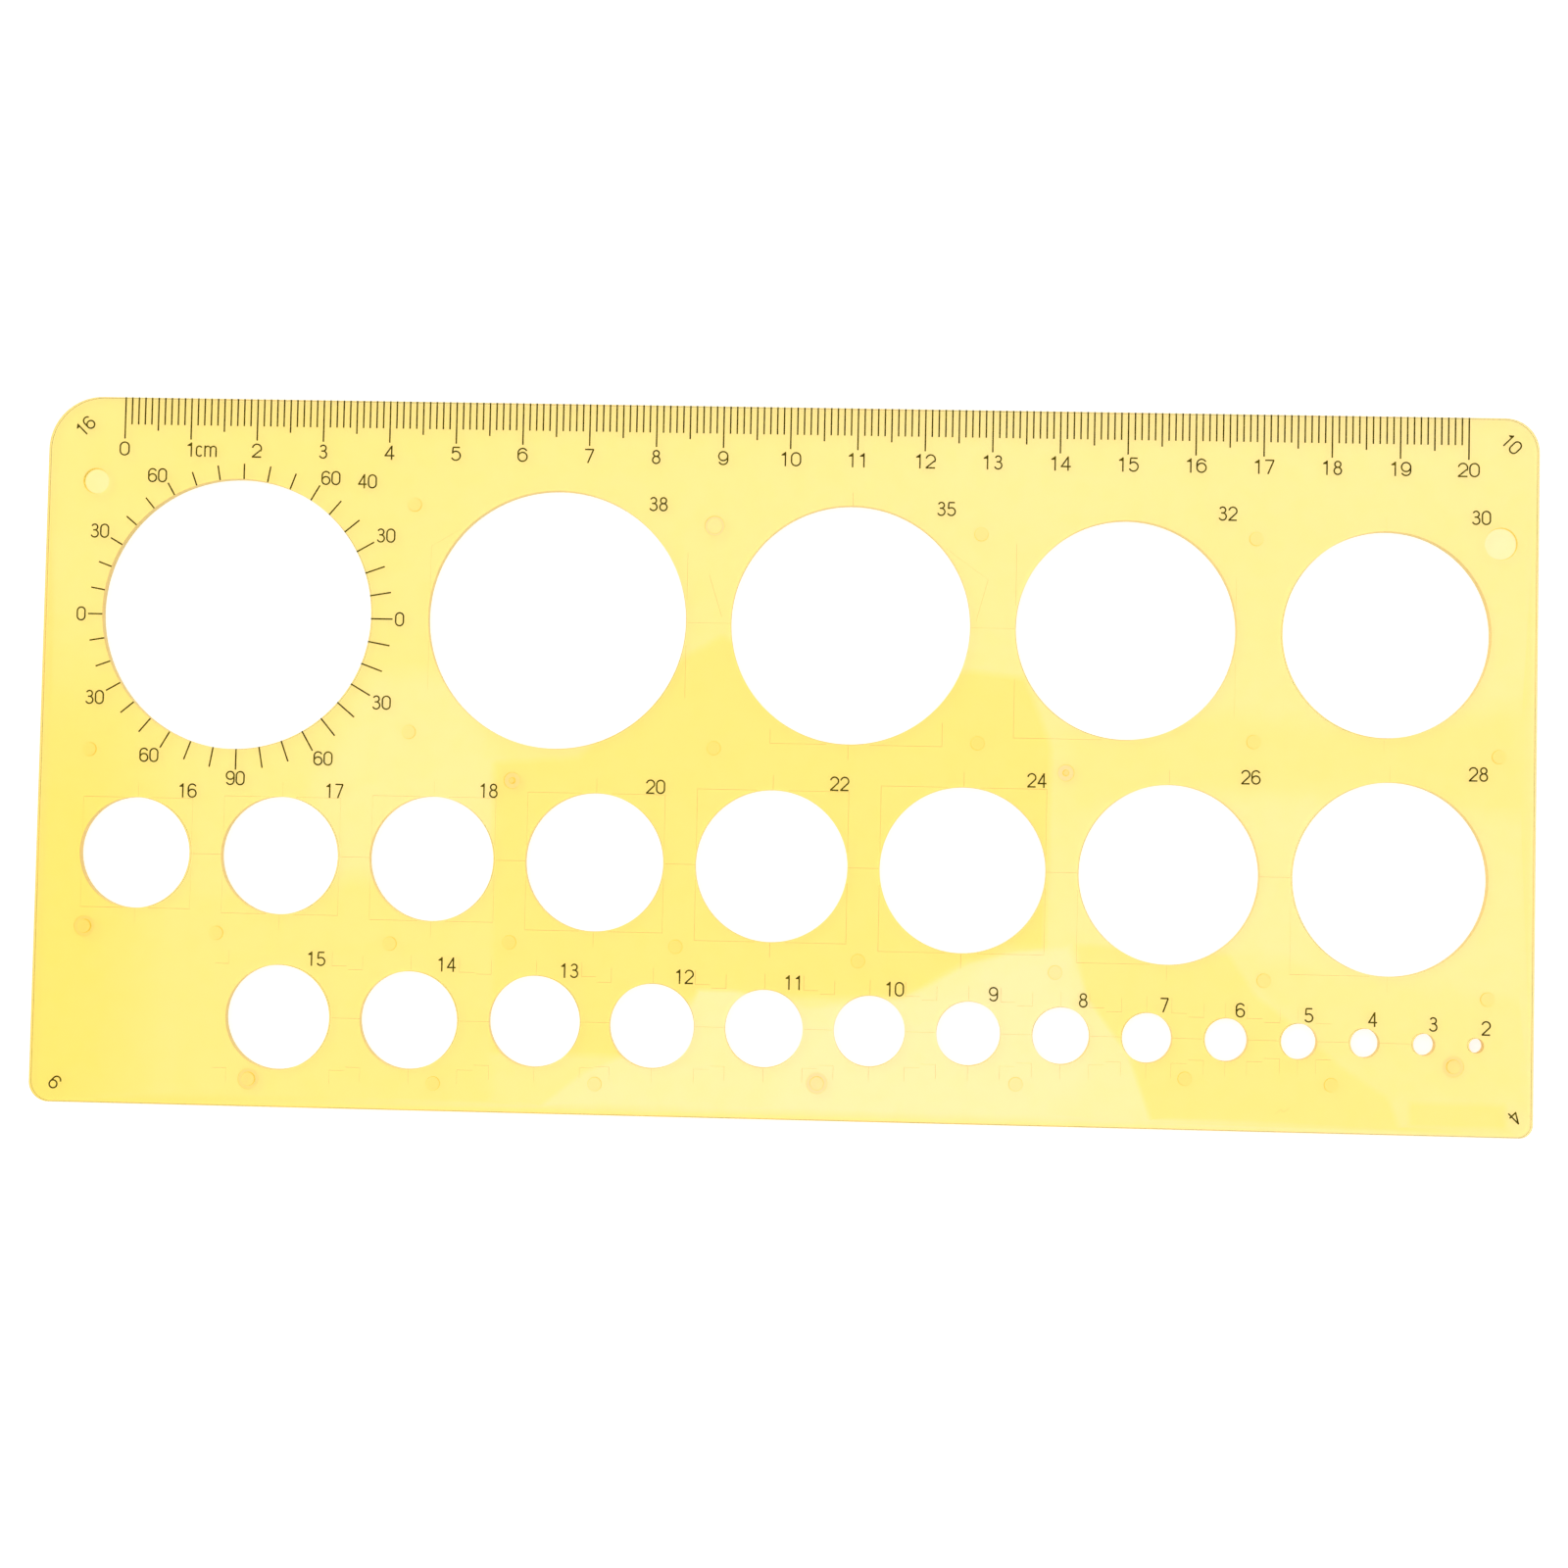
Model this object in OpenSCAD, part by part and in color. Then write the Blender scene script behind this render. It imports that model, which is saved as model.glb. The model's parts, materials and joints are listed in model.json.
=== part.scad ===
// Circle template: one clear moulded sheet with three rows of round cut-outs, a rule along its
// long edge, a protractor scale round the largest cut-out, and printed sizes beside every circle
// and corner. Millimetres. The origin is the centre of the sheet's underside, +X runs along the
// rule, +Y points at the ruled edge and +Z is up, out of the printed face.

/* [Sheet] */
// Length of the sheet, along the rule
sheet_l = 221.8; // [220:0.2:240]
// Width of the sheet, from the ruled edge to the plain edge
sheet_w = 105.6; // [104:0.2:120]
// Thickness of the sheet
sheet_t = 1.5; // [1.2:0.1:3]
// Printed size of the corner beside the rule's zero, twice its radius
corner_rule_start = 16; // [2:1:16]
// Printed size of the corner at the far end of the rule
corner_rule_end = 10; // [2:1:16]
// Printed size of the plain corner below the rule's zero
corner_plain_start = 6; // [2:1:16]
// Printed size of the plain corner below the far end of the rule
corner_plain_end = 4; // [2:1:16]

/* [Circles] */
// How much wider most cut-outs are than their printed size, to let a pencil lead in
lead_allowance = 0.5; // [0:0.1:1]
// How much wider the smallest cut-out is than its printed size
least_allowance = 0.15; // [0:0.05:0.5]
// How much more each further millimetre of printed size adds, until the full lead allowance is reached
allowance_rise = 0.04; // [0:0.01:0.1]
// Distance of the large row's centre line below the ruled edge
row_1_drop = 32.3; // [31:0.1:34]
// Distance of the middle row's centre line below the ruled edge
row_2_drop = 68.3; // [67:0.1:70]
// Distance of the small row's centre line below the ruled edge
row_3_drop = 92.3; // [92:0.1:95]
// Distance of the large row's first centre from the left end
row_1_start = 29.1; // [28:0.1:30]
// Distance of the middle row's first centre from the left end
row_2_start = 14.84; // [14:0.01:16]
// Distance of the small row's first centre from the left end
row_3_start = 37; // [36:0.1:38]
// Plastic between the first two circles of the large row, where the protractor's numerals stand
web_protractor = 9.1; // [9:0.1:10]
// Plastic between the other circles of the large row
web_1 = 7.2; // [6:0.1:7.5]
// Plastic between the circles of the middle row
web_2 = 5.27; // [4:0.01:5.5]
// Plastic between the circles of the small row
web_3 = 5.08; // [4:0.01:5.2]

/* [Rule] */
// Length of the rule in centimetres
rule_cm = 20; // [10:1:20]
// Length of a millimetre tick
tick_mm = 4.1; // [3:0.1:4.5]
// Length of a five-millimetre tick
tick_5_mm = 5; // [4:0.1:5.5]
// Length of a centimetre tick
tick_cm = 6.25; // [5:0.05:6.5]
// Distance of the rule numerals' centre line below the ruled edge
rule_numeral_drop = 7.75; // [7.5:0.05:8]

/* [Protractor] */
// Angle between ticks
protractor_step = 10; // [5:5:30]
// Radius of the ticks' outer ends
protractor_r = 22.95; // [22:0.05:23.5]

/* [Print] */
// Thickness of the printed ink
ink_t = 0.03; // [0.02:0.01:0.1]
// Width of a printed line
line_w = 0.22; // [0.15:0.01:0.3]
// Height of a numeral
numeral_h = 2.15; // [1.8:0.05:2.4]
// Width of a numeral beside a circle, corner or protractor tick
numeral_w = 1.38; // [1.2:0.02:1.5]
// Distance between the centres of such a number's digits
numeral_pitch = 1.5; // [1.4:0.05:1.8]
// Width of a numeral of the rule
rule_numeral_w = 1.56; // [1.3:0.02:1.6]
// Distance between the centres of the digits in a number of the rule
rule_numeral_pitch = 1.68; // [1.6:0.02:1.8]
// How far the print sits off the moulding, along the rule
print_shift_x = 0.55; // [-0.5:0.05:0.6]
// How far the print sits off the moulding, towards the ruled edge
print_shift_y = -0.4; // [-0.5:0.05:0.5]

/* [Moulding marks] */
// Diameter of an ejector mark
ejector_d = 2.1; // [1.5:0.1:2.5]
// Height of an ejector mark above the printed face
ejector_h = 0.25; // [0.05:0.05:0.3]
// Outer diameter of the shallow ring round a pip
pip_ring_d = 3.1; // [2.8:0.1:3.4]
// Depth of that ring
pip_ring_depth = 0.1; // [0.05:0.05:0.3]
// Diameter of a pip
pip_d = 2.1; // [1.6:0.1:2.4]
// Height of a pip above the printed face
pip_h = 0.25; // [0.05:0.05:0.3]
// Diameter of the shallow dish round a gate mark
gate_dish_d = 2.5; // [2:0.1:3]
// Depth of that dish
gate_dish_depth = 0.3; // [0.05:0.05:0.5]
// Diameter of a gate mark
gate_d = 1.05; // [0.8:0.05:1.5]
// Height of a gate mark above the printed face
gate_h = 0.3; // [0.05:0.05:0.4]

/* [Hidden] */
$fn = 64;
left = -sheet_l / 2;
top = sheet_w / 2;
print_shift = [print_shift_x, print_shift_y];
ink_colour = [0.27, 0.21, 0.03];
sheet_colour = [1, 0.9, 0.35, 0.75];

// Printed sizes of the circles in each row
ROW_1 = [40, 38, 35, 32, 30];
ROW_2 = [16, 17, 18, 20, 22, 24, 26, 28];
ROW_3 = [15, 14, 13, 12, 11, 10, 9, 8, 7, 6, 5, 4, 3, 2];

// The circle whose insert stood off its row's line in the mould, and how far off it cuts
stray_size = 13;
stray_shift = [0.17, 0.28];

// Where each printed size stands, from its own circle's place in the row
LABEL_1 = [[18.6, 20.6], [14.2, 17.9], [13.3, 17.9], [14.1, 17.9], [13, 17.9]];
LABEL_2 = [
    [7.1, 9.8], [7.4, 10.2], [7.7, 10.7], [8.3, 11.8], [9.3, 12.8], [10.1, 13.9], [11.2, 15], [12.1, 16.1]
];
LABEL_3 = [
    [5, 9.2], [4.9, 8.8], [4.6, 8.3], [4.1, 7.8], [3.7, 7.3], [3, 6.7], [3, 6.3],
    [2.6, 5.7], [1.9, 5.3], [1.4, 4.8], [0.8, 4.3], [0.5, 3.9], [0.7, 3.4], [0.8, 3]
];

// The four corners: printed size, way out to the corner, how far in its print stands, and the print's turn
CORNERS = [
    [corner_rule_start, [-1, 1], [4.85, 4.05], 45],
    [corner_rule_end, [1, 1], [4.65, 3.4], -45],
    [corner_plain_start, [-1, -1], [3.4, 3.3], -45],
    [corner_plain_end, [1, -1], [3.15, 3.45], -135]
];

// Protractor numerals: degrees and the place from the protractor's centre, in the right upper quarter
QUARTER_NUMERALS = [[30, [21.6, 12.5]], [60, [13.1, 21]]];
zero_numeral_r = 24;
ninety_numeral_r = 24.2;

// Ejector marks, each as distances from the left end and below the ruled edge
EJECTOR_MARKS = [
    [7.6, 53], [55.5, 15.5], [55.5, 49.5], [101, 51], [140, 18.5], [140, 49.5], [180.5, 18.5], [180.5, 48.5],
    [216.3, 50], [27.5, 80], [53.5, 81], [71.3, 80.4], [96, 80.5], [123, 82], [152, 83], [182.5, 83.5],
    [215, 85.5], [60.5, 101.5], [84.5, 101], [146.5, 99.5], [171.2, 98.1], [192.5, 98.5]
];
// Pips, and gate marks
PIPS = [[7.6, 79.4], [32.9, 101.5], [117.3, 100.1], [210.2, 95.4]];
GATES = [[71.1, 56.4], [153.1, 53.6]];
// Round pockets: place, diameter, depth
POCKETS = [[[7.3, 12.7], 3.9, 0.5], [[216.3, 18.6], 4.8, 0.4]];
// Sunk mark between the second and third circles: its place, and the diameter and depth of its core and
// of the groove round that
SUNK_MARK = [100.4, 17.9];
sunk_core_d = 2.3;
sunk_core_depth = 0.16;
sunk_groove_d = 3;
sunk_groove_depth = 0.28;
// How far a cutter runs past the face it cuts
past = 1;

// ---- Places ----

// A place given as distances from the left end and below the ruled edge
function at(p) = [left + p.x, top - p.y];

// The diameter of the cut-out that has this printed size
function cut_out_d(size) =
    size + min(lead_allowance, least_allowance + allowance_rise * (size - min(ROW_3)));

// Distance of a row's i-th centre from the left end, with web i between circles i and i + 1
function centre_x(start, sizes, webs, i) =
    i == 0 ? start : centre_x(start, sizes, webs, i - 1) + (sizes[i - 1] + sizes[i]) / 2 + webs[i - 1];

// The places of a row's circles, all on one line
function row_centres(start, drop, sizes, webs) =
    [for (i = [0 : len(sizes) - 1]) at([centre_x(start, sizes, webs, i), drop])];

function same(value, count) = [for (i = [1 : count]) value];

webs_1 = concat([web_protractor], same(web_1, len(ROW_1) - 2));
centres_1 = row_centres(row_1_start, row_1_drop, ROW_1, webs_1);
centres_2 = row_centres(row_2_start, row_2_drop, ROW_2, same(web_2, len(ROW_2) - 1));
centres_3 = row_centres(row_3_start, row_3_drop, ROW_3, same(web_3, len(ROW_3) - 1));
protractor_centre = centres_1[0] + print_shift;

// ---- Sheet ----

// What a square corner loses when it is rounded, with the corner at the origin and the sheet towards +X +Y
module corner_waste(radius) {
    difference() {
        translate([-past, -past]) square(radius + past);
        translate([radius, radius]) circle(radius);
    }
}

module sheet_outline() {
    difference() {
        square([sheet_l, sheet_w], center = true);
        for (c = CORNERS)
            translate([c[1].x * sheet_l / 2, c[1].y * sheet_w / 2])
                mirror([c[1].x > 0 ? 1 : 0, 0]) mirror([0, c[1].y > 0 ? 1 : 0])
                    corner_waste(c[0] / 2);
    }
}

// The round cut-outs of one row
module row_holes(centres, sizes) {
    for (i = [0 : len(sizes) - 1]) {
        place = centres[i] + (sizes[i] == stray_size ? stray_shift : [0, 0]);
        translate([place.x, place.y, -past]) cylinder(d = cut_out_d(sizes[i]), h = sheet_t + 2 * past);
    }
}

// A round pocket of the given depth, to cut from the printed face
module face_pocket(d, depth) {
    translate([0, 0, sheet_t - depth]) cylinder(d = d, h = depth + past);
}

// A round groove to cut from the printed face, with what it leaves standing inside core_d
module face_groove(d, core_d, depth) {
    difference() {
        face_pocket(d, depth);
        translate([0, 0, sheet_t - depth - past]) cylinder(d = core_d, h = depth + 3 * past);
    }
}

// A disc that stands up from the printed face, rooted as deep in the sheet as it is high
module raised_disc(d, h) {
    translate([0, 0, sheet_t - h]) cylinder(d = d, h = 2 * h);
}

module template_sheet() {
    color(sheet_colour) {
        difference() {
            linear_extrude(sheet_t) sheet_outline();
            row_holes(centres_1, ROW_1);
            row_holes(centres_2, ROW_2);
            row_holes(centres_3, ROW_3);
            for (p = POCKETS) translate(at(p[0])) face_pocket(p[1], p[2]);
            for (p = PIPS) translate(at(p)) face_groove(pip_ring_d, pip_d, pip_ring_depth);
            for (p = GATES) translate(at(p)) face_groove(gate_dish_d, gate_d, gate_dish_depth);
            translate(at(SUNK_MARK)) {
                face_pocket(sunk_core_d, sunk_core_depth);
                face_groove(sunk_groove_d, sunk_core_d, sunk_groove_depth);
            }
        }
        for (p = EJECTOR_MARKS) translate(at(p)) raised_disc(ejector_d, ejector_h);
        for (p = PIPS) translate(at(p)) raised_disc(pip_d, pip_h);
        for (p = GATES) translate(at(p)) raised_disc(gate_d, gate_h);
    }
}

// ---- Strokes of the print ----

// Straight stroke between two points
module bar(p, q, w = line_w) {
    d = q - p;
    translate(p) rotate(atan2(d.y, d.x)) translate([0, -w / 2]) square([norm(d), w]);
}

module ring(r) {
    difference() {
        circle(r + line_w / 2);
        circle(r - line_w / 2);
    }
}

// Round stroke about c, anticlockwise from one angle to another
module arc(c, r, from, to) {
    steps = ceil((to - from) / 45);
    translate(c) intersection() {
        ring(r);
        polygon(concat([[0, 0]],
            [for (i = [0 : steps]) let (a = from + (to - from) * i / steps) 2 * r * [cos(a), sin(a)]]));
    }
}

// One digit of the given width, centred on the origin
module digit(n, w) {
    // Half width and half height along the middle of the strokes
    hw = (w - line_w) / 2;
    hh = (numeral_h - line_w) / 2;
    // Radii of the lower and upper bowls of 3 and 8, and how far they stand from the middle
    low_r = 0.55 * hh;
    top_r = hh - low_r;
    bowl_y = low_r - hh;
    crown_y = hh - top_r;
    // How far a flat stroke runs past the one that it meets
    overrun = line_w / 3;

    if (n == 0) {
        arc([0, hh - hw], hw, 0, 180);
        arc([0, hw - hh], hw, 180, 360);
        for (x = [-hw, hw]) bar([x, hw - hh], [x, hh - hw]);
    }
    if (n == 1) {
        stem = 0.15 * hw;
        bar([stem, -hh - line_w / 2], [stem, hh + line_w / 2]);
        flag = -0.75 * hw;
        polygon([[stem, hh + line_w / 2], [stem, 0.55 * hh], [flag, 0.55 * hh], [flag, 0.7 * hh]]);
    }
    if (n == 2) {
        arc([0, hh - hw], hw, -35, 170);
        bar([0.8 * hw, 0.06], [-0.96 * hw, -0.96 * hh]);
        bar([-hw - overrun, -hh], [hw, -hh]);
    }
    if (n == 3) {
        arc([0, crown_y], top_r, -90, 160);
        arc([0, bowl_y], low_r, -160, 90);
        bar([-0.4 * hw, bowl_y + low_r], [0.05, bowl_y + low_r]);
    }
    if (n == 4) {
        stem = 0.5 * hw;
        shelf = -0.46 * hh;
        bar([stem, -hh - line_w / 2], [stem, hh + line_w / 2]);
        bar([-hw - overrun, shelf], [hw + overrun, shelf]);
        bar([-0.95 * hw, shelf], [0.47 * hw, hh]);
    }
    if (n == 5) {
        bar([-0.72 * hw, hh], [0.85 * hw, hh]);
        bar([-0.68 * hw, hh], [-0.78 * hw, 0.02]);
        arc([-0.02, -hh + hw], hw, -155, 135);
    }
    if (n == 6) {
        translate([0, hw - hh]) ring(hw);
        arc([0, hh - hw], hw, 25, 180);
        bar([-hw, hw - hh], [-hw, hh - hw]);
    }
    if (n == 7) {
        bar([-hw, hh], [hw, hh]);
        bar([0.92 * hw, hh], [-0.35 * hw, -hh - line_w / 2]);
    }
    if (n == 8) {
        translate([0, crown_y]) ring(top_r);
        translate([0, bowl_y]) ring(low_r);
    }
    if (n == 9) rotate(180) digit(6, w);
}

// Letters of the unit mark: radius of their round strokes, their height, and the middle of those strokes
letter_r = 0.42;
letter_h = 0.8 * numeral_h;
letter_bowl_y = (letter_h - line_w) / 2 - letter_r;

module letter_c() {
    arc([0, letter_bowl_y], letter_r, 30, 180);
    arc([0, -letter_bowl_y], letter_r, 180, 330);
    bar([-letter_r, -letter_bowl_y], [-letter_r, letter_bowl_y]);
}

module letter_m() {
    for (x = [-letter_r, letter_r]) arc([x, letter_bowl_y], letter_r, 0, 180);
    for (x = [-2, 0, 2]) bar([x * letter_r, -letter_h / 2], [x * letter_r, letter_bowl_y]);
    bar([-2 * letter_r, letter_bowl_y], [-2 * letter_r, letter_h / 2]);
}

function digits(n) = n < 10 ? [n] : concat(digits(floor(n / 10)), [n % 10]);

// A whole number, centred on the origin, in ink on the printed face
module number(n, w = numeral_w, pitch = numeral_pitch) {
    parts = digits(n);
    for (i = [0 : len(parts) - 1])
        translate([(i - (len(parts) - 1) / 2) * pitch, 0, sheet_t])
            linear_extrude(ink_t) digit(parts[i], w);
}

module numbers(sizes, centres, labels) {
    color(ink_colour)
        for (i = [0 : len(sizes) - 1])
            translate(centres[i] + labels[i] + print_shift) number(sizes[i]);
}

// ---- Rule ----

function rule_x(mm) = mm - rule_cm * 5 + print_shift.x;

module rule_ticks(values, length) {
    color(ink_colour)
        for (v = values)
            translate([rule_x(v) - line_w / 2, top - length, sheet_t]) cube([line_w, length, ink_t]);
}

module millimetre_ticks() rule_ticks([for (v = [0 : rule_cm * 10]) if (v % 5 != 0) v], tick_mm);

module five_millimetre_ticks() rule_ticks([for (v = [5 : 10 : rule_cm * 10]) v], tick_5_mm);

module centimetre_ticks() rule_ticks([for (v = [0 : 10 : rule_cm * 10]) v], tick_cm);

module rule_numerals() {
    color(ink_colour)
        for (cm = [0 : rule_cm])
            translate([rule_x(10 * cm), top - rule_numeral_drop])
                number(cm, rule_numeral_w, rule_numeral_pitch);
}

// The unit, "cm", after the rule's 1
module unit_mark() {
    base = top - rule_numeral_drop - (numeral_h - letter_h) / 2;
    color(ink_colour)
        translate([rule_x(10), base, sheet_t])
            linear_extrude(ink_t) {
                translate([1.3, 0]) letter_c();
                translate([3, 0]) letter_m();
            }
}

// ---- Protractor ----

// Ticks all round the largest circle, each ending at its wall
module protractor_ticks() {
    inner_r = ROW_1[0] / 2 - 1;
    color(ink_colour)
        difference() {
            translate([protractor_centre.x, protractor_centre.y, sheet_t])
                for (a = [0 : protractor_step : 359])
                    rotate(a)
                        translate([inner_r, -line_w / 2, 0])
                            cube([protractor_r - inner_r, line_w, ink_t]);
            row_holes([centres_1[0]], [ROW_1[0]]);
        }
}

module protractor_numerals() {
    color(ink_colour)
        translate(protractor_centre) {
            for (x = [-1, 1]) {
                translate([x * zero_numeral_r, 0]) number(0);
                for (y = [-1, 1], q = QUARTER_NUMERALS) translate([x * q[1].x, y * q[1].y]) number(q[0]);
            }
            translate([0, -ninety_numeral_r]) number(90);
        }
}

// ---- Sizes ----

module large_row_sizes() numbers(ROW_1, centres_1, LABEL_1);

module middle_row_sizes() numbers(ROW_2, centres_2, LABEL_2);

module small_row_sizes() numbers(ROW_3, centres_3, LABEL_3);

module corner_sizes() {
    color(ink_colour)
        for (c = CORNERS)
            translate([c[1].x * (sheet_l / 2 - c[2].x), c[1].y * (sheet_w / 2 - c[2].y)] + print_shift)
                rotate(c[3]) number(c[0]);
}

template_sheet();
millimetre_ticks();
five_millimetre_ticks();
centimetre_ticks();
rule_numerals();
unit_mark();
protractor_ticks();
protractor_numerals();
large_row_sizes();
middle_row_sizes();
small_row_sizes();
corner_sizes();
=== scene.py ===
"""Looks of the circle template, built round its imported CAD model. Everything is in metres and in the CAD
frame: +X along the rule, +Y towards the ruled edge, +Z up out of the printed face, z = 0 under the sheet."""

import json
import math
from collections import defaultdict

import bpy
import numpy as np
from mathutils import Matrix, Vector
from mathutils.geometry import delaunay_2d_cdt


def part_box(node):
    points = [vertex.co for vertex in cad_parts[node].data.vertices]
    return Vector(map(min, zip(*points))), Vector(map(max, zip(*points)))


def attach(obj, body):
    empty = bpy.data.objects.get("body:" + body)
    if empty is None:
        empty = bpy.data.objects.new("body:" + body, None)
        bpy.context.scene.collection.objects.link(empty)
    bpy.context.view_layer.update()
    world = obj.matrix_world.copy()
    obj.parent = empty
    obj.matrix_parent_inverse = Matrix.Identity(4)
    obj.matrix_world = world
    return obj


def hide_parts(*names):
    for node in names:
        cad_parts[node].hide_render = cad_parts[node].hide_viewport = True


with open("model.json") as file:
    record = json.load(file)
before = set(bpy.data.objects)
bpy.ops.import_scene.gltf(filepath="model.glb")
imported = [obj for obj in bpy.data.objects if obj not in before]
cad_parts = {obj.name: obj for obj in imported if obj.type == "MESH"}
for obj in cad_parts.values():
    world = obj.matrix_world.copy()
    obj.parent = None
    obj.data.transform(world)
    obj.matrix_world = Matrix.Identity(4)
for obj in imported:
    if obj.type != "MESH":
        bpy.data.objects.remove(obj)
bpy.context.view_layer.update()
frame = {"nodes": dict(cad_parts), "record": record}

MM = 0.001

# ---- What the CAD model says ----

bores = [m for m in frame["record"]["mounts"] if m["kind"] == "bore"]
SHEET_T = bores[0]["dims"]["length_mm"] * MM
HOLES = {  # printed size: centre and radius
    int(m["name"].rsplit("_", 1)[1]): (Vector(m["pos_m"][:2]), m["dims"]["r_mm"] * MM) for m in bores
}
SHEET_LOW, SHEET_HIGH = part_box("template_sheet")
INK_NODES = sorted(set(frame["nodes"]) - {"template_sheet"})

# The sizes in each row of holes, from the left
LARGE_ROW = (40, 38, 35, 32, 30)
MIDDLE_ROW = (16, 17, 18, 20, 22, 24, 26, 28)
SMALL_ROW = tuple(range(15, 1, -1))

# The outline's corners, anticlockwise from the far end of the rule: which way each lies from the middle, and
# its radius, which is half the size printed beside it
CORNERS = ((1, 1, 5 * MM), (-1, 1, 8 * MM), (-1, -1, 3 * MM), (1, -1, 2 * MM))

# ---- Sizes of the fine detail ----

FACE_Z = SHEET_T - 0.001 * MM  # just under the printed film's underside
EDGE_ROUND = 0.07 * MM  # rounding along the sheet's outline
RIM_ROUND = 0.05 * MM  # rounding of the holes' rims
ROUND_STEPS = 4  # facets in each rounding
ARC_SHARE = 0.45  # of a straight side, the most that the rounding at one of its ends may take
RUN_ON = 3  # how many roundings a profile runs on past its last corner
CORNER_FACETS = 20  # in each corner of the outline
HOLE_FACETS, HOLE_FACETS_PER_MM = 64, 4  # round a hole, and more for each millimetre of its radius

# The moulding marks in the printed face
MARK_ROUND = 0.035 * MM  # rounding of their steps
MARK_DRAFT = 0.28  # how far a step leans in for each unit of its height
MARK_FACETS = 56
MARK_SPAN = 6 * MM  # each is narrower than this, and further than this from the next
SAME_MARK = 0.2 * MM  # rings whose centres are nearer than this belong to one mark

# The witness lines of the mould's inserts, sunk in the underside
GROOVE_HALF_W = 0.012 * MM
GROOVE_DEPTH = 0.012 * MM
DASH = 2.1 * MM  # length of the short ones
LINE_CLEAR = 0.12 * MM  # from a line's end to a rounded rim, or to the middle between two holes
SIDE_CLEAR = 0.18 * MM  # from a line that runs past a hole to the hole's rounded rim, at the line's end

# The dye depth: 0 is the palest plastic and 1 about the deepest, past which only the marks' steps go, with
# their painted shade
STEP_PAINTED_SHADE = 0.75  # painted shade: a deeper tint added on the marks' steps, standing in for the orange rims that light shows through them
DEEP_PALER = 0.15  # taken off where a mark is sunk by more than DEEP_SUNK
DEEP_SUNK = 0.25 * MM  # as the pockets, the gates' dishes and the groove of the sunk mark are
LEVEL_TOLERANCE = 0.012 * MM  # a point nearer than this to one of a mark's levels is not on a step
FLOW_STEP = 1.8  # mm between the points that keep the dye depth
FLOW_EDGE_STEP = 0.8  # mm between them along a flow zone's edge
FLOW_RIM = 0.9  # mm of the face along the outline without any
FLOW_RING = 0.25  # mm round each hole and mark without any
SAME_POINT = 1e-7  # mm; nearer points of a level face are filled as one


# ---- Mesh helpers ----


class Shell:
    """Points and faces of one closed surface, gathered ring by ring."""

    def __init__(self):
        self.points, self.faces, self.smooth = [], [], []

    def add(self, x, y, z):
        self.points.append((x, y, z))
        return len(self.points) - 1

    def face(self, corners, smooth):
        self.faces.append(corners)
        self.smooth.append(smooth)

    def skin(self, rings):
        """Joins rings of equally many points, each to the next, with smooth quads."""
        for a, b in zip(rings, rings[1:]):
            for i in range(len(a)):
                j = (i + 1) % len(a)
                self.face((a[i], a[j], b[j], b[i]), True)

    def lathe(self, centre, profile, count):
        """Rings round a vertical line through centre, one for each (radius, height) of the profile."""
        turns = [2 * math.pi * i / count for i in range(count)]
        rings = [
            [self.add(centre.x + r * math.cos(t), centre.y + r * math.sin(t), z) for t in turns]
            for r, z in profile
        ]
        self.skin(rings)
        return rings

    def flat(self, loops, grooves, free, up):
        """Fills a level face between an outer loop and the loops inside it. Each groove has its line sunk."""
        ids, edges, owner = [], [], {}
        for n, loop in enumerate(loops):
            first = len(ids)
            ids += loop
            edges += [(first + i, first + (i + 1) % len(loop)) for i in range(len(loop))]
            owner.update({first + i: n for i in range(len(loop))})
        for groove in grooves:
            first = len(ids)
            ids += [self.add(*p) for p in groove.points]
            edges += [(first + a, first + b) for a, b in groove.edges]
        ids += free
        flat_mm = [Vector(self.points[i][:2]) / MM for i in ids]
        _, _, triangles, origins, _, _ = delaunay_2d_cdt(flat_mm, edges, [], 0, SAME_POINT, True)
        for t in triangles:
            corners = [origins[c][0] for c in t]
            owners = {owner.get(c, -1) for c in corners}
            if len(owners) == 1 and owners.pop() > 0:  # all on one inner loop, so inside it
                continue
            face = [ids[c] for c in corners]
            self.face(face if up else face[::-1], False)

    def to_object(self, name):
        mesh = bpy.data.meshes.new(name)
        mesh.from_pydata(self.points, [], self.faces)
        mesh.polygons.foreach_set("use_smooth", self.smooth)
        mesh.update()
        made = bpy.data.objects.new(name, mesh)
        bpy.context.scene.collection.objects.link(made)
        return made


def rounded(corners, radius):
    """A profile of (radius, height) points with each corner between its ends turned into an arc."""
    made = [corners[0]]
    for before, at, after in zip(corners, corners[1:], corners[2:]):
        before, at, after = Vector(before), Vector(at), Vector(after)
        start, end = (before - at).normalized(), (after - at).normalized()
        turn = start.angle(end)
        room = ARC_SHARE * (before - at).length, ARC_SHARE * (after - at).length
        back = min(radius / math.tan(turn / 2), *room)
        arc_r = back * math.tan(turn / 2)
        centre = at + (start + end).normalized() * (arc_r / math.sin(turn / 2))
        first = at + start * back - centre
        swing = first.angle_signed(at + end * back - centre)
        for k in range(ROUND_STEPS + 1):
            a = -swing * k / ROUND_STEPS
            made.append(
                (
                    centre.x + first.x * math.cos(a) - first.y * math.sin(a),
                    centre.y + first.x * math.sin(a) + first.y * math.cos(a),
                )
            )
    made.append(corners[-1])
    return made


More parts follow.
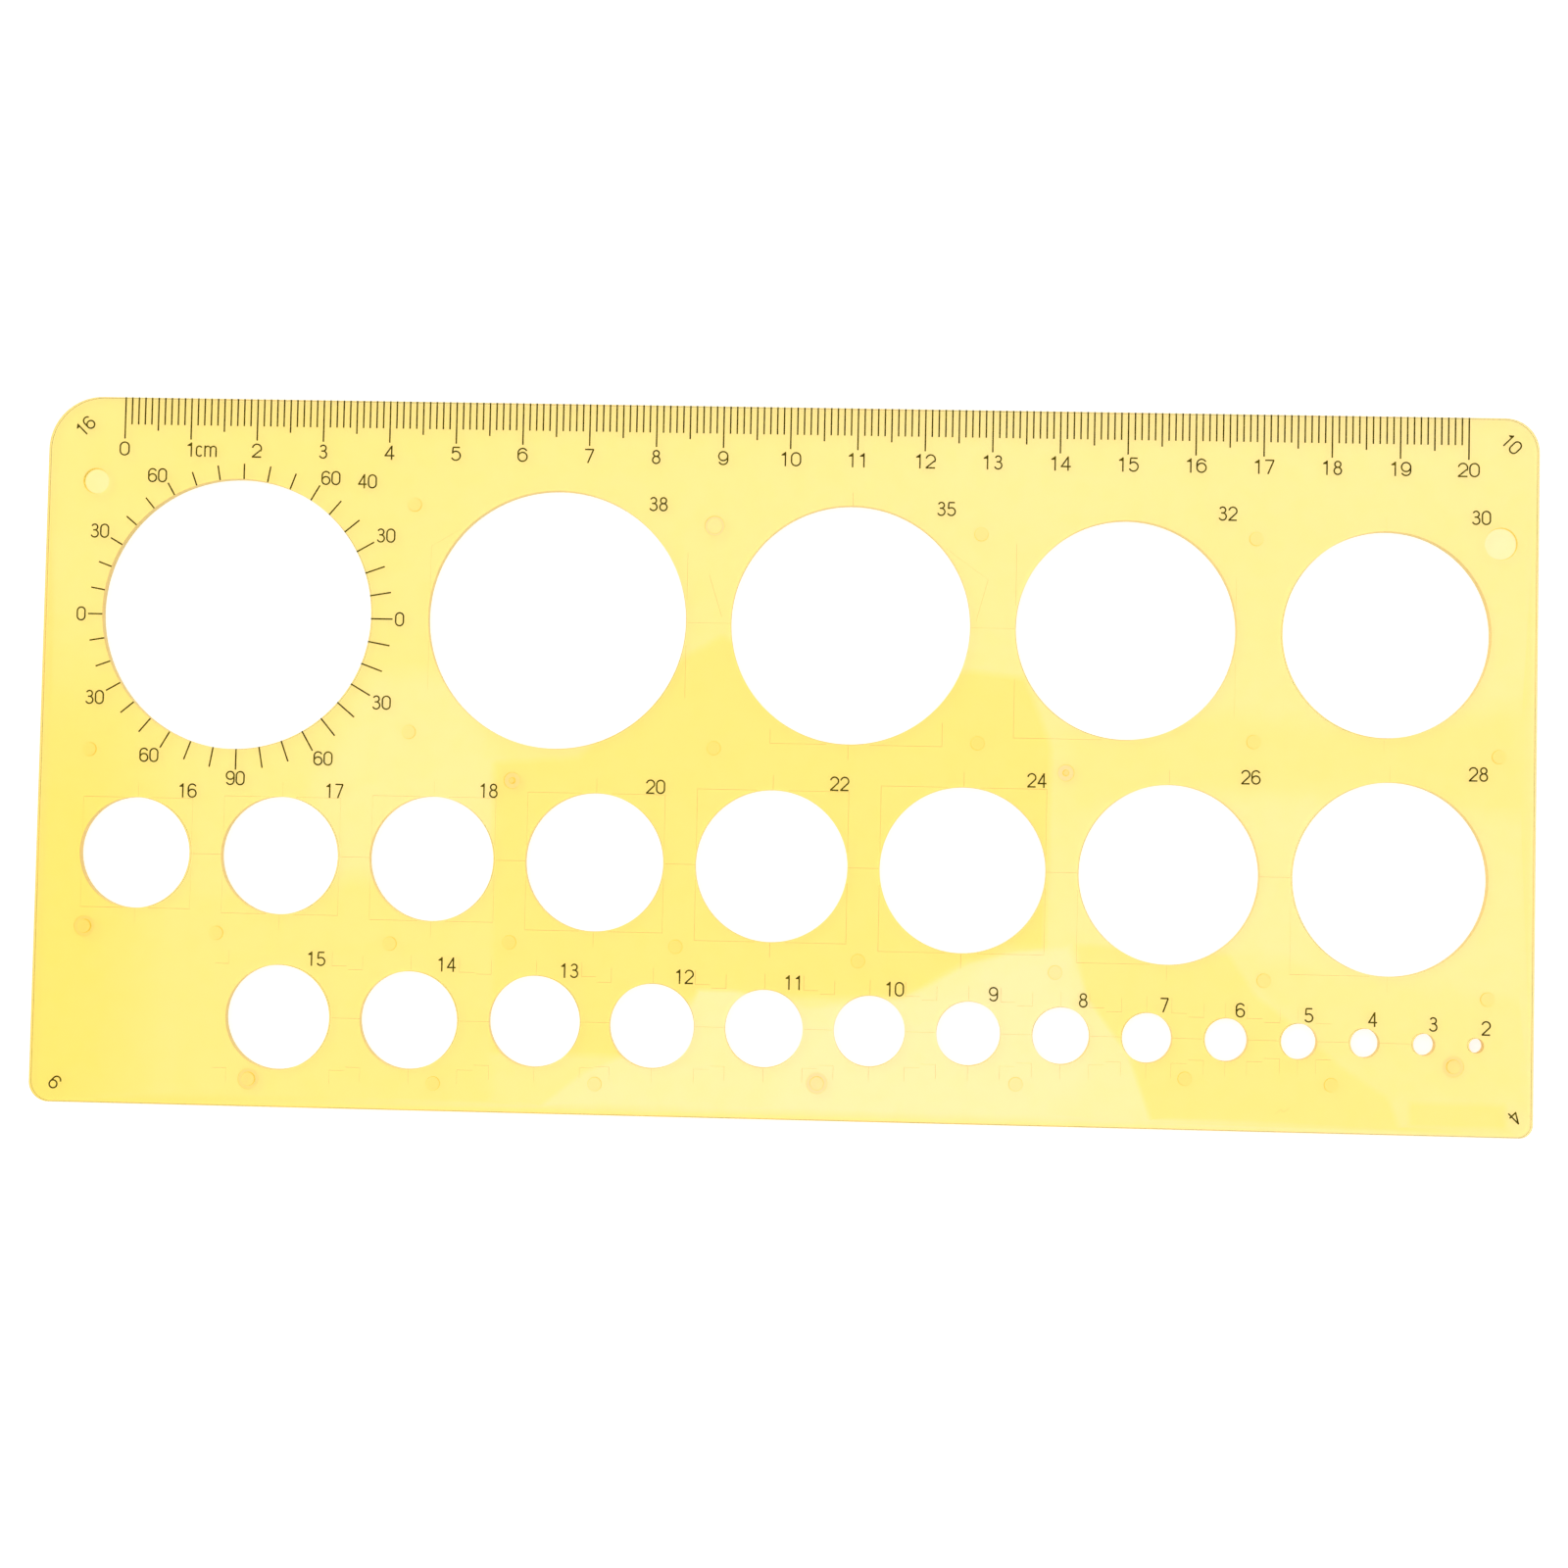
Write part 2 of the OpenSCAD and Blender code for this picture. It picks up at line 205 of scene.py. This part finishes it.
def outline_ring(shell, inset, z):
    """The sheet's rounded outline, moved in by inset."""
    ring = []
    for k, (side_x, side_y, radius) in enumerate(CORNERS):
        x = (SHEET_HIGH.x if side_x > 0 else SHEET_LOW.x) - side_x * radius
        y = (SHEET_HIGH.y if side_y > 0 else SHEET_LOW.y) - side_y * radius
        for i in range(CORNER_FACETS + 1):
            a = math.pi / 2 * (k + i / CORNER_FACETS)
            ring.append(shell.add(x + (radius - inset) * math.cos(a), y + (radius - inset) * math.sin(a), z))
    return ring


class Groove:
    """A fine V line along a path in the underside: its two sides stay level and its middle is sunk."""

    def __init__(self, *path):
        path = [Vector(p) for p in path]
        runs = [(b - a).normalized() for a, b in zip(path, path[1:])]
        path[0] += runs[0] * GROOVE_HALF_W
        path[-1] -= runs[-1] * GROOVE_HALF_W
        first, last = path[0] - runs[0] * GROOVE_HALF_W, path[-1] + runs[-1] * GROOVE_HALF_W
        self.points, self.edges = [(*first, 0), (*last, 0)], []
        normals = [Vector((-run.y, run.x)) for run in runs]
        for p, before, after in zip(path, normals[:1] + normals, normals + normals[-1:]):
            side = (before + after) / (1 + before.dot(after)) * GROOVE_HALF_W
            self.points += [(*(p + side), 0), (*p, GROOVE_DEPTH), (*(p - side), 0)]
        for lane in range(3):
            lane_ids = [0] + [2 + 3 * i + lane for i in range(len(path))] + [1]
            self.edges += list(zip(lane_ids, lane_ids[1:]))


# ---- Sheet ----


def terraces():
    """The level places of the CAD sheet other than its two faces: {centre: [(outer radius, height), ...]}."""
    mesh = frame["nodes"]["template_sheet"].data
    co = np.array([v.co for v in mesh.vertices], float)
    lanes = defaultdict(list)
    for i, z in enumerate(np.round(co[:, 2] / MM, 3)):
        if z not in (0, round(SHEET_T / MM, 3)):
            lanes[z].append(i)
    found = defaultdict(list)
    for z, members in lanes.items():
        left = co[members, :2]
        while len(left):
            near = np.linalg.norm(left - left[0], axis=1) < MARK_SPAN
            ring = left[near]
            centre = (ring.min(0) + ring.max(0)) / 2
            reach = np.linalg.norm(ring - centre, axis=1).max()
            same = (k for k in found if (Vector(k) - Vector(centre)).length < SAME_MARK)
            key = next(same, tuple(centre))
            found[key].append((reach, z * MM))
            left = left[~near]
    return {k: sorted(v) for k, v in found.items()}


def mark_profile(steps):
    """A moulding mark's outline from its middle out to the face, each step rounded."""
    corners = [(0.0, steps[0][1])]
    for (reach, z), (_, after) in zip(steps, steps[1:] + [(0, FACE_Z)]):
        corners += [(reach - MARK_DRAFT * abs(z - after), z), (reach, after)]
    return rounded(corners + [(steps[-1][0] + RUN_ON * MARK_ROUND, FACE_Z)], MARK_ROUND)


def clear_reach(r):
    """How far a line that would touch a hole stays away from where it would touch."""
    return math.sqrt(2 * r * (RIM_ROUND + SIDE_CLEAR))


def insert_lines():
    """The fine lines that the mould's inserts round the holes have left in the underside."""
    lines = []

    def square_corner(size, sx, sy):
        centre, r = HOLES[size]
        arm = r - clear_reach(r)
        corner = centre + Vector((sx * r, sy * r))
        lines.append(Groove(corner - Vector((sx * arm, 0)), corner, corner - Vector((0, sy * arm))))

    def open_corner(size, sx, sy, across):
        centre, r = HOLES[size]
        corner = centre + Vector((sx * r, sy * r))
        lines.append(Groove(corner + Vector((sx * across, 0)), corner, corner + Vector((0, sy * DASH))))

    def drawn(size, *offsets):
        """A line through points given in mm from a hole's centre."""
        lines.append(Groove(*[HOLES[size][0] + Vector(o) * MM for o in offsets]))

    def dash(size, sy):
        centre, r = HOLES[size]
        start = centre + Vector((0, sy * (r + RIM_ROUND + LINE_CLEAR)))
        lines.append(Groove(start, start + Vector((0, sy * DASH))))

    def bridge(left, right):
        """A line on the row's middle from one hole to the next."""
        start = HOLES[left][0] + Vector((HOLES[left][1] + RIM_ROUND + LINE_CLEAR, 0))
        end_x = HOLES[right][0].x - HOLES[right][1] - RIM_ROUND - LINE_CLEAR
        lines.append(Groove(start, Vector((end_x, start.y))))

    # middle row: squares that touch the holes, of which the last two have only one corner
    for size in MIDDLE_ROW[:-2]:
        for sx, sy in ((1, 1), (-1, 1), (-1, -1), (1, -1)):
            square_corner(size, sx, sy)
    for size in MIDDLE_ROW[-2:]:
        square_corner(size, -1, -1)
    # small row, down to 5: the lines run on outwards from the squares' corners
    for size in SMALL_ROW[:-3]:
        centre, r = HOLES[size]
        for sx, beside in ((-1, size + 1), (1, size - 1)):
            across = DASH
            if beside in SMALL_ROW:
                gap = abs(HOLES[beside][0].x - centre.x) - HOLES[beside][1] - r
                across = gap / 2 - LINE_CLEAR
            for sy in (1, -1):
                open_corner(size, sx, sy, across)
    # between neighbours, and above and below the holes
    for row in (MIDDLE_ROW, SMALL_ROW[:-1], LARGE_ROW[1:4]):
        for left, right in zip(row, row[1:]):
            bridge(left, right)
    for size in MIDDLE_ROW + SMALL_ROW[1:-3] + (35, 30):
        dash(size, 1)
        dash(size, -1)
    # large row: straight sides and cut corners
    r38, r35, r32 = (HOLES[size][1] / MM for size in (38, 35, 32))
    drawn(38, (-14.9, 13.4), (-r38, 10.8), (-r38, 3.4))
    drawn(38, (-r38, -3.4), (-r38, -10.8))
    drawn(38, (r38, 10.5), (r38, 3.4))
    drawn(38, (r38, -3.4), (r38, -11.2))
    drawn(35, (-21.2, 7.2), (-19.2, 1.0))
    drawn(35, (13.9, 11.8), (20.3, 7.2), (18.6, 1.0))
    drawn(35, (-11.6, -15.6), (-11.6, -r35), (-3.2, -r35))
    drawn(35, (13.9, -14.2), (13.9, -r35), (3.2, -r35))
    drawn(32, (-r32, 12.6), (-r32, 3.4))
    drawn(32, (-r32, -7.5), (-r32, -r32), (-3.2, -r32))
    drawn(32, (r32, 8.0), (r32, 3.2))
    drawn(32, (r32, -4.5), (r32, -12.5))
    # a stray flow mark near the lower edge
    drawn(5, (-3.1, -10.7), (-2.4, -10.0), (-1.9, -10.4), (-1.1, -9.8))
    return lines


# Where the dye came out deeper or paler than round about, as flow zones, later ones over earlier ones:
# the dye depth, how soft the edge is in mm, and the outline in mm
FLOW_ZONES = [
    (0.28, 5.0, [(-62, 12), (-48, 12), (-42, 0), (-42, -19), (-67, -18.5), (-70, -4)]),
    (0.60, 2.0, [(-89, -22), (-66, -19), (-42, -19), (-42, -53), (-89, -53)]),
    (
        0.75,
        1.2,
        [(-42.5, -1), (-30, 0), (-15, 15), (-9, 18.5), (4, 12), (28, 14), (36, 13), (40, 3), (39.5, -27)]
        + [(28, -29), (19, -34.5), (-12, -35), (-22, -44), (-42, -44)],
    ),
    (0.47, 5.0, [(42, 5), (60, 9), (78, 7), (110, 10), (110, -6), (80, -3), (60, -3), (42, -7)]),
    (0.20, 3.0, [(66, -5), (79, -4), (79, -27), (66, -28)]),
    (0.36, 3.0, [(66.5, -27), (83, -43), (90, -47.5), (111, -47.5), (111, -33), (85, -30)]),
    (
        0.58,
        1.0,
        [(44, -26), (66.5, -27), (70.5, -33), (76, -37), (83, -43), (90, -47.5), (92, -53), (50, -53)],
    ),
    (0.56, 1.0, [(93, -48), (107, -48), (107, -51.5), (93, -51.5)]),
    (
        0.10,
        0.8,
        [(-36, -53), (-28, -46.5), (-22, -44), (-12, -36), (-11.5, -34), (-6, -34), (5, -36.3), (19, -34.5)]
        + [(28.5, -29.3), (36, -27.2), (43, -26.6), (44.5, -30), (46, -34), (52, -42), (56, -53)],
    ),
    (0.0, 5.0, [(0, -40), (24, -34), (34, -28), (42, -28), (46, -45), (40, -53), (0, -53)]),
]


def smooth_step(x):
    """0 below 0, 1 above 1, and an even S between them."""
    x = np.clip(x, 0, 1)
    return x * x * (3 - 2 * x)


def dye_depth(xy):
    """How deep the dye is at points given in mm."""
    x, y = xy.T
    # paler towards the right, in slow drifts, and deepest in the lower left
    depth = 0.40 - 0.14 * np.tanh((x + 25) / 60)
    depth += 0.04 * np.sin(x / 17 + 1.3 * np.sin(y / 13)) * np.sin(y / 11 + x / 29)
    lower_left = smooth_step((-84 - x) / 22) * smooth_step((28 - y) / 40)
    for level, soft, corners in FLOW_ZONES:
        a = np.array(corners, float)
        b = np.roll(a, -1, 0)
        along = b - a
        off = xy[:, None] - a
        share = np.clip((off * along).sum(2) / (along**2).sum(1), 0, 1)
        away = np.linalg.norm(off - share[..., None] * along, axis=2).min(1)
        crosses = (a[:, 1] > y[:, None]) != (b[:, 1] > y[:, None])
        with np.errstate(divide="ignore", invalid="ignore"):
            at = a[:, 0] + (y[:, None] - a[:, 1]) / along[:, 1] * along[:, 0]
        inside = (crosses & (x[:, None] < at)).sum(1) % 2 == 1
        weight = smooth_step(0.5 + np.where(inside, away, -away) / soft)
        depth = depth + (level - depth) * weight
    return np.clip(depth + (1.0 - depth) * lower_left, 0, 1.1)


def flow_points(marks):
    """Points over the printed face, closer along the flow zones' edges, for the dye depth to be kept at."""
    low, high = np.array(SHEET_LOW)[:2] / MM, np.array(SHEET_HIGH)[:2] / MM
    grid = np.stack(np.meshgrid(*[np.arange(lo, hi, FLOW_STEP) for lo, hi in zip(low, high)]), -1)
    made = [grid.reshape(-1, 2)]
    for _, soft, corners in FLOW_ZONES:
        if soft > FLOW_STEP:
            continue
        for a, b in zip(np.array(corners, float), np.roll(np.array(corners, float), -1, 0)):
            along = (b - a) / np.linalg.norm(b - a)
            steps = np.arange(FLOW_EDGE_STEP / 2, np.linalg.norm(b - a), FLOW_EDGE_STEP)[:, None]
            for side in (-0.5, 0.0, 0.5):
                made.append(a + along * steps + np.array([-along[1], along[0]]) * side * soft)
    points = np.concatenate(made)
    keep = ((points > low + FLOW_RIM) & (points < high - FLOW_RIM)).all(1)
    for side_x, side_y, radius in CORNERS:
        radius = radius / MM
        corner = np.array([(high if side_x > 0 else low)[0], (high if side_y > 0 else low)[1]])
        inward = np.abs(points - corner)
        in_corner = (inward < radius).all(1)
        keep &= ~in_corner | (np.linalg.norm(radius - inward, axis=1) < radius - FLOW_RIM)
    rounds = [(centre, r + RUN_ON * RIM_ROUND) for centre, r in HOLES.values()]
    rounds += [(centre, steps[-1][0] + (RUN_ON + 1) * MARK_ROUND) for centre, steps in marks.items()]
    for centre, r in rounds:
        keep &= np.linalg.norm(points - np.array(centre) / MM, axis=1) > r / MM + FLOW_RING
    return points[keep]


def build_sheet():
    """The sheet as one closed mesh, with the dye depth (and a painted deeper tint on the marks' steps) and
    the scuffing (and a painted orange edge glow) kept at its points.
    """
    shell = Shell()
    # outline; a profile's two ends only give its first and last corner a direction, and are left off
    ends = EDGE_ROUND * RUN_ON
    rim = rounded([(ends, FACE_Z), (0, FACE_Z), (0, 0), (ends, 0)], EDGE_ROUND)[1:-1]
    rings = [outline_ring(shell, inset, z) for inset, z in rim]
    shell.skin(rings[::-1])
    top_loops, under_loops = [rings[0]], [rings[-1]]
    # holes
    for centre, r in HOLES.values():
        ends = r + RUN_ON * RIM_ROUND
        wall = rounded([(ends, FACE_Z), (r, FACE_Z), (r, 0), (ends, 0)], RIM_ROUND)[1:-1]
        rings = shell.lathe(centre, wall, int(HOLE_FACETS + HOLE_FACETS_PER_MM * r / MM))
        top_loops.append(rings[0])
        under_loops.append(rings[-1])
    scuff_and_glow_end = len(shell.points)
    # moulding marks in the printed face
    marks = terraces()
    for centre, steps in marks.items():
        rings = shell.lathe(Vector(centre), mark_profile(steps)[1:-1][::-1], MARK_FACETS)
        top_loops.append(rings[0])
        shell.face(tuple(rings[-1]), False)
    free = [shell.add(x * MM, y * MM, FACE_Z) for x, y in flow_points(marks)]
    shell.flat(top_loops, [], free, True)
    shell.flat(under_loops, insert_lines(), [], False)
    made = shell.to_object("moulded_sheet")
    # the printed face keeps the dye depth, and the underside adds none
    co = np.array(shell.points)
    depth = np.where(co[:, 2] > SHEET_T / 2, dye_depth(co[:, :2] / MM), 0.0)
    for centre, steps in marks.items():
        there = np.linalg.norm(co[:, :2] - centre, axis=1) < steps[-1][0] + MARK_ROUND
        depth[there & (co[:, 2] < FACE_Z - DEEP_SUNK)] -= DEEP_PALER
        # painted shade: the marks' steps get a deeper tint, standing in for the orange rims that light shows
        # through their slopes
        levels = np.array([z for _, z in steps] + [FACE_Z])
        off_level = np.abs(co[:, 2, None] - levels).min(1) > LEVEL_TOLERANCE
        depth[there & (co[:, 2] > SHEET_T / 2) & off_level] += STEP_PAINTED_SHADE
    made.data.attributes.new("dye_depth", "FLOAT", "POINT").data.foreach_set("value", depth.clip(0))
    # the outline's and the holes' walls are scuffed and carry the painted orange edge glow, and the marks'
    # steps do not
    scuff_and_edge_glow = (np.arange(len(co)) < scuff_and_glow_end).astype(float)
    made.data.attributes.new("scuff_and_edge_glow", "FLOAT", "POINT").data.foreach_set("value", scuff_and_edge_glow)
    return made


# ---- Materials ----


class Nodes:
    """Short ways to write one material's node tree."""

    def __init__(self, name):
        self.material = bpy.data.materials.new(name)
        self.material.use_nodes = True
        self.tree = self.material.node_tree
        self.tree.nodes.clear()
        self.output = self.tree.nodes.new("ShaderNodeOutputMaterial")
        self.place = self.new("TexCoord").outputs["Object"]

    def new(self, kind, inputs=None, **settings):
        made = self.tree.nodes.new("ShaderNode" + kind)
        for key, value in settings.items():
            setattr(made, key, value)
        for key, value in (inputs or {}).items():
            if isinstance(value, bpy.types.NodeSocket):
                self.tree.links.new(value, made.inputs[key])
            else:
                made.inputs[key].default_value = value
        return made

    def math(self, operation, *values):
        return self.new("Math", dict(enumerate(values)), operation=operation).outputs[0]

    def ramp(self, value, low, high, to_low=0.0, to_high=1.0):
        """value from low..high to to_low..to_high, smoothly."""
        inputs = {"Value": value, "From Min": low, "From Max": high, "To Min": to_low, "To Max": to_high}
        return self.new("MapRange", inputs, interpolation_type="SMOOTHSTEP").outputs[0]

    def noise(self, size, detail=2.0, stretch=(1, 1, 1)):
        """Noise whose features are about size metres across."""
        scale = [1 / (size * s) for s in stretch]
        mapped = self.new("Mapping", {"Vector": self.place, "Scale": scale}).outputs[0]
        return self.new("TexNoise", {"Vector": mapped, "Scale": 1.0, "Detail": detail}).outputs["Fac"]

    def mix(self, share, a, b):
        inputs = {0: share, 6: a, 7: b}
        return self.new("Mix", inputs, data_type="RGBA").outputs[2]


DYE_GREEN, DYE_BLUE = 0.863, 0.19  # how much green and blue a dye depth of 1 lets through
GREEN_STOPS = 0.9  # the dye depth past which the green falls no further
# painted orange edge glow on the scuffed walls, pale and deep, standing in for light carried along inside the
# sheet
WALL_GLOW_PALE, WALL_GLOW_DEEP = (1.0, 0.81, 0.32, 1), (1.0, 0.68, 0.15, 1)
WALL_CLEAR = 0.4  # from outside, the scuffed edges show part of a painted orange edge glow, standing in for light carried along inside the sheet
WALL_ROUGH, SCUFF_ROUGH = 0.2, 0.35  # added on every wall, and from outside on the scuffed ones too
PIN_SMOOTH, PIN_MATT = 0.08, 0.20  # least and most roughness of the sunk marks
SUNK_FROM, SUNK_FULLY = 0.03 * MM, 0.06 * MM  # below the face, where that starts and where it is whole


def plastic():
    """Clear yellow moulded plastic. The dye is in its depth, so it deepens wherever light goes further, and
    the face carries a tint of the zones on top of that, with a painted deeper tint on the marks' steps. The
    scuffed walls carry a painted orange edge glow."""
    n = Nodes("clear_yellow_plastic")
    depth = n.new("Attribute", attribute_name="dye_depth").outputs["Fac"]
    depth = n.math("ADD", depth, n.ramp(n.noise(3 * MM, 1.0), 0.3, 0.7, -0.02, 0.02))
    green = n.math("POWER", DYE_GREEN, n.math("MINIMUM", depth, GREEN_STOPS))
    blue = n.math("POWER", DYE_BLUE, depth)
    face = n.new("CombineColor", {"Red": 1.0, "Green": green, "Blue": blue}).outputs[0]

    height = n.new("SeparateXYZ", {0: n.place}).outputs["Z"]
    up = n.new("SeparateXYZ", {0: n.new("TexCoord").outputs["Normal"]}).outputs["Z"]
    wall = n.ramp(n.math("ABSOLUTE", up), 0.4, 0.9, 1.0, 0.0)
    scuff_and_edge_glow = n.new("Attribute", attribute_name="scuff_and_edge_glow").outputs["Fac"]
    streaks = n.noise(0.5 * MM, 2.0, (1, 1, 6))
    # painted orange edge glow on the scuffed walls, standing in for light carried along inside the sheet
    colour = n.mix(n.math("MULTIPLY", wall, scuff_and_edge_glow), face, n.mix(streaks, WALL_GLOW_DEEP, WALL_GLOW_PALE))
    # the sunk marks were left by matt pins
    sunk = n.math("MULTIPLY", n.ramp(height, FACE_Z - SUNK_FULLY, FACE_Z - SUNK_FROM, 1.0, 0.0), up)
    grain = n.noise(0.12 * MM, 2.0)
    scratches = n.ramp(n.noise(0.35 * MM, 3.0, (1, 14, 1)), 0.62, 0.74, 0.02, 0.10)
    outside = n.math("SUBTRACT", 1.0, n.new("NewGeometry").outputs["Backfacing"])
    outside = n.math("MULTIPLY", n.math("MULTIPLY", wall, scuff_and_edge_glow), outside)
    rough = n.math("MULTIPLY_ADD", wall, WALL_ROUGH, n.math("MULTIPLY_ADD", outside, SCUFF_ROUGH, scratches))
    matt = n.math("MULTIPLY", sunk, n.ramp(grain, 0.3, 0.7, PIN_SMOOTH, PIN_MATT))
    rough = n.math("MAXIMUM", rough, matt)
    swell = n.noise(9 * MM, 1.0)
    waves = n.new("Bump", {"Strength": 0.35, "Distance": 0.05 * MM, "Height": swell}).outputs[0]
    surface = n.new(
        "BsdfPrincipled",
        {
            "Base Color": colour,
            "Roughness": rough,
            "Normal": waves,
            "IOR": 1.49,
            "Transmission Weight": n.math("MULTIPLY_ADD", outside, WALL_CLEAR - 1, 1.0),
        },
    )
    dye = n.new("VolumeAbsorption", {"Color": (0.99, 0.835, 0.16, 1), "Density": 600.0})
    n.tree.links.new(surface.outputs[0], n.output.inputs["Surface"])
    n.tree.links.new(dye.outputs[0], n.output.inputs["Volume"])
    return n.material


def ink():
    """Thin dark olive-brown print, uneven where the ink has run thin."""
    n = Nodes("printed_ink")
    body = n.ramp(n.noise(0.9 * MM, 4.0), 0.35, 0.70)
    colour = n.mix(body, (0.045, 0.033, 0.0, 1), (0.13, 0.10, 0.002, 1))
    thin = n.ramp(n.noise(0.25 * MM, 3.0), 0.62, 0.74)
    colour = n.mix(thin, colour, (0.36, 0.29, 0.02, 1))
    grain = n.noise(0.08 * MM, 2.0)
    bump = n.new("Bump", {"Strength": 0.4, "Distance": 0.01 * MM, "Height": grain}).outputs[0]
    surface = n.new(
        "BsdfPrincipled",
        {
            "Base Color": colour,
            "Roughness": n.ramp(grain, 0.3, 0.7, 0.45, 0.70),
            "Normal": bump,
            "Specular IOR Level": 0.1,
            "Specular Tint": (1.0, 0.85, 0.45, 1),
        },
    )
    n.tree.links.new(surface.outputs[0], n.output.inputs["Surface"])
    return n.material


def floor_paint():
    """A pale floor that glows evenly, so that no shadow lies under the clear sheet."""
    n = Nodes("studio_floor")
    colour = n.mix(n.noise(0.4), (0.50, 0.50, 0.495, 1), (0.52, 0.52, 0.52, 1))
    surface = n.new(
        "BsdfPrincipled",
        {
            "Base Color": colour,
            "Roughness": 0.7,
            "IOR": 1.3,
            "Emission Color": (1, 1, 1, 1),
            "Emission Strength": 0.7,
        },
    )
    n.tree.links.new(surface.outputs[0], n.output.inputs["Surface"])
    return n.material


# ---- The object ----

sheet = build_sheet()
sheet.data.materials.append(plastic())
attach(sheet, "root")
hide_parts("template_sheet")

print_ink = ink()
for name in INK_NODES:
    printed = frame["nodes"][name]
    printed.data.materials.clear()
    printed.data.materials.append(print_ink)

# ---- Floor, light and camera ----

FLOOR_GAP = 0.08 * MM  # air under the sheet
FLOOR_HALF = 2.0
floor_z = SHEET_LOW.z - FLOOR_GAP
floor_mesh = bpy.data.meshes.new("floor")
floor_mesh.from_pydata(
    [(x * FLOOR_HALF, y * FLOOR_HALF, floor_z) for x, y in ((-1, -1), (1, -1), (1, 1), (-1, 1))],
    [],
    [(0, 1, 2, 3)],
)
floor = bpy.data.objects.new("floor", floor_mesh)
floor_mesh.materials.append(floor_paint())
bpy.context.scene.collection.objects.link(floor)

world = bpy.data.worlds.new("studio")
world.use_nodes = True
world.node_tree.nodes["Background"].inputs["Color"].default_value = (1, 1, 1, 1)
world.node_tree.nodes["Background"].inputs["Strength"].default_value = 0.8
bpy.context.scene.world = world

# One large soft light, above, to the left and beyond the ruled edge, turned to the middle of the sheet
KEY_PLACE = Vector((-1.2, 1.1, 1.3))
light = bpy.data.lights.new("key", "AREA")
light.shape = "SQUARE"
light.size = 1.6
light.energy = 8.5
lamp = bpy.data.objects.new("key", light)
lamp.location = KEY_PLACE
lamp.rotation_euler = (-KEY_PLACE).to_track_quat("-Z", "Y").to_euler()
bpy.context.scene.collection.objects.link(lamp)

# The camera looks almost straight down, from over a point near the sheet's middle
CAMERA_OVER = (10.25 * MM, -13.4 * MM)
CAMERA_HEIGHT = 319.1 * MM
CAMERA_TURN = (1.858, 1.693, 1.236)
CAMERA_LENS = 49.31
camera_data = bpy.data.cameras.new("camera")
camera_data.lens = CAMERA_LENS
camera_data.sensor_width = 36.0
camera_data.clip_start = 0.01
camera = bpy.data.objects.new("camera", camera_data)
camera.location = (*CAMERA_OVER, CAMERA_HEIGHT)
camera.rotation_euler = [math.radians(a) for a in CAMERA_TURN]
bpy.context.scene.collection.objects.link(camera)
bpy.context.scene.camera = camera
bpy.context.scene.view_settings.view_transform = "Standard"
bpy.context.scene.cycles.blur_glossy = 0.0  # a rough guess at gloss would trap light inside the thin sheet
